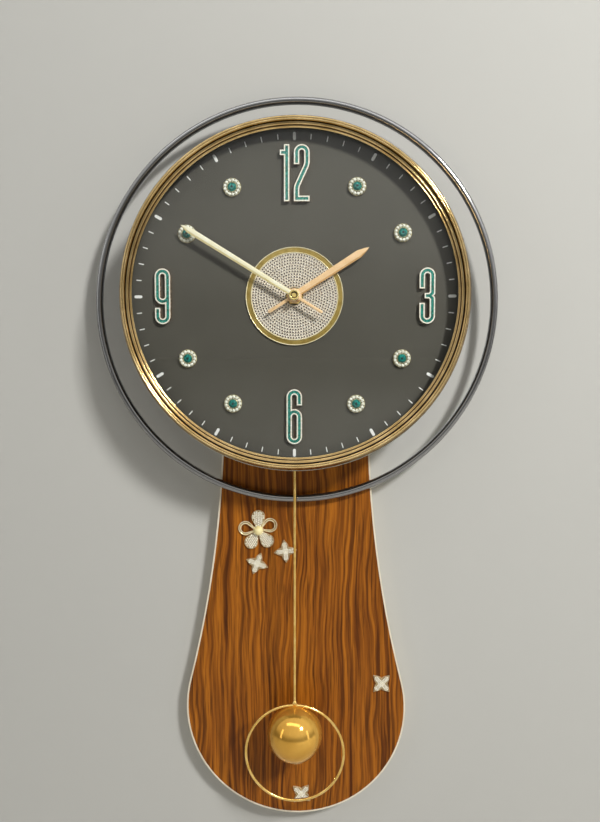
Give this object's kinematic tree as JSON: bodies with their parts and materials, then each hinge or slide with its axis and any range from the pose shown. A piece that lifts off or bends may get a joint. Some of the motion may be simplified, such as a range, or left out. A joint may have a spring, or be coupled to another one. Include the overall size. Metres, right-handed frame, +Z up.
{
  "type": "pendulum wall clock",
  "caption": "Wall clock with a round dial, gold bezel, domed glass, tube ring, walnut pear-shaped board and a swinging gold ring-and-ball pendulum.",
  "frame": {"origin": "centre of the hanging hole in the wall plane", "axes": "+X to the right seen from the front, -Y out of the wall towards the viewer, +Z up"},
  "size_m": [0.4, 0.0746, 0.7294],
  "materials": {
    "board_core": "matte",
    "walnut": "satin",
    "edge_band": "satin",
    "zinc_steel": "satin",
    "pad_rubber": "matte",
    "black_lacquer": "gloss",
    "case_paint": "matte",
    "rim_plate": "polished",
    "bezel_gold": "polished",
    "spacer_plastic": "matte",
    "clear_glass": "polished",
    "dial_paint": "satin",
    "mark_paint": "satin",
    "medallion_gold": "polished",
    "crystal_mesh": "polished",
    "numeral_gold": "polished",
    "green_enamel": "gloss",
    "green_stone": "polished",
    "clear_crystal": "polished",
    "rose_gold": "polished",
    "pale_gold": "polished",
    "turned_brass": "polished",
    "gear_resin": "satin",
    "movement_plastic": "satin",
    "cell_jacket": "gloss",
    "spring_steel": "satin",
    "circuit_resin": "satin",
    "copper_wire": "satin",
    "core_iron": "satin",
    "magnet_plate": "polished",
    "pendulum_gold": "polished",
    "ball_gold": "polished",
    "crystal_pave": "polished",
    "silver_wire": "polished",
    "pearl": "gloss"
  },
  "bodies": {
    "clock": {"back_board": "board_core", "walnut_veneer": "walnut", "edge_trim": "edge_band", "hanger_plate": "zinc_steel", "wood_screws": "zinc_steel", "wall_pads": "pad_rubber", "outer_ring": "black_lacquer", "ring_nuts": "zinc_steel", "case_plate": "case_paint", "case_wall": "case_paint", "case_rim": "rim_plate", "bezel": "bezel_gold", "bezel_liner": "bezel_gold", "spacer_ring": "spacer_plastic", "glass": "clear_glass", "dial_plate": "dial_paint", "minute_marks": "mark_paint", "medallion_ring": "medallion_gold", "medallion_mesh": "crystal_mesh", "numeral_12": "numeral_gold", "numeral_3": "numeral_gold", "numeral_6": "numeral_gold", "numeral_9": "numeral_gold", "numeral_enamel": "green_enamel", "jewel_settings": "medallion_gold", "jewel_stones": "green_stone", "jewel_crystals": "clear_crystal", "movement_housing": "movement_plastic", "movement_cover": "movement_plastic", "middle_plate": "movement_plastic", "rubber_washer": "pad_rubber", "fixing_nut": "turned_brass", "battery": "cell_jacket", "battery_contacts": "spring_steel", "circuit_board": "circuit_resin", "clock_coil": "copper_wire", "stator": "core_iron", "drive_coil": "copper_wire", "flower_base": "crystal_pave", "flower_loops": "silver_wire", "flower_pearl": "pearl", "small_blossoms": "crystal_pave"},
    "minute": {"minute_arbor": "turned_brass", "minute_hand": "pale_gold", "hand_nut": "turned_brass"},
    "hour": {"hour_wheel": "gear_resin", "hour_hand": "rose_gold"},
    "motion": {"motion_wheel": "gear_resin"},
    "knob": {"setting_knob": "movement_plastic"},
    "centre": {"centre_wheel": "gear_resin"},
    "third": {"third_wheel": "gear_resin"},
    "seconds": {"seconds_wheel": "gear_resin"},
    "intermediate": {"intermediate_wheel": "gear_resin"},
    "rotor_body": {"rotor": "gear_resin"},
    "pendulum": {"pendulum_lever": "movement_plastic", "lever_magnet": "magnet_plate", "pendulum_rod": "pendulum_gold", "pendulum_ring": "pendulum_gold", "pendulum_ball": "ball_gold"}
  },
  "joints": [
    {"name": "minute_hand_turn", "type": "hinge", "parent": "clock", "child": "minute", "pos_m": [0, 0, -0.092], "axis": [0, 1, 0], "continuous": true},
    {"name": "hour_hand_turn", "type": "hinge", "parent": "clock", "child": "hour", "pos_m": [0, 0, -0.092], "axis": [0, 1, 0], "continuous": true},
    {"name": "motion_wheel_turn", "type": "hinge", "parent": "clock", "child": "motion", "pos_m": [0.00735, 0, -0.08583], "axis": [0, 1, 0], "continuous": true},
    {"name": "setting_knob_turn", "type": "hinge", "parent": "clock", "child": "knob", "pos_m": [0.01695, 0, -0.08583], "axis": [0, 1, 0], "continuous": true},
    {"name": "intermediate_wheel_turn", "type": "hinge", "parent": "clock", "child": "intermediate", "pos_m": [0, 0, -0.0815], "axis": [0, 1, 0], "continuous": true},
    {"name": "seconds_wheel_turn", "type": "hinge", "parent": "clock", "child": "seconds", "pos_m": [0, 0, -0.092], "axis": [0, 1, 0], "continuous": true},
    {"name": "third_wheel_turn", "type": "hinge", "parent": "clock", "child": "third", "pos_m": [-0.0144, 0, -0.092], "axis": [0, 1, 0], "continuous": true},
    {"name": "centre_wheel_turn", "type": "hinge", "parent": "clock", "child": "centre", "pos_m": [0, 0, -0.092], "axis": [0, 1, 0], "continuous": true},
    {"name": "rotor_turn", "type": "hinge", "parent": "clock", "child": "rotor_body", "pos_m": [0.00779, 0, -0.07835], "axis": [0, 1, 0], "continuous": true},
    {"name": "pendulum_swing", "type": "hinge", "parent": "clock", "child": "pendulum", "pos_m": [0, 0, -0.14], "axis": [0, 1, 0], "range_deg": [-6, 6]}
  ],
  "couplings": [
    {"joint": "hour_hand_turn", "follows": "minute_hand_turn", "ratio": 0.083333},
    {"joint": "motion_wheel_turn", "follows": "minute_hand_turn", "ratio": -0.33333},
    {"joint": "setting_knob_turn", "follows": "minute_hand_turn", "ratio": 1},
    {"joint": "seconds_wheel_turn", "follows": "intermediate_wheel_turn", "ratio": -0.16667},
    {"joint": "third_wheel_turn", "follows": "intermediate_wheel_turn", "ratio": 0.022222},
    {"joint": "centre_wheel_turn", "follows": "intermediate_wheel_turn", "ratio": -0.0027778},
    {"joint": "rotor_turn", "follows": "intermediate_wheel_turn", "ratio": -5}
  ]
}
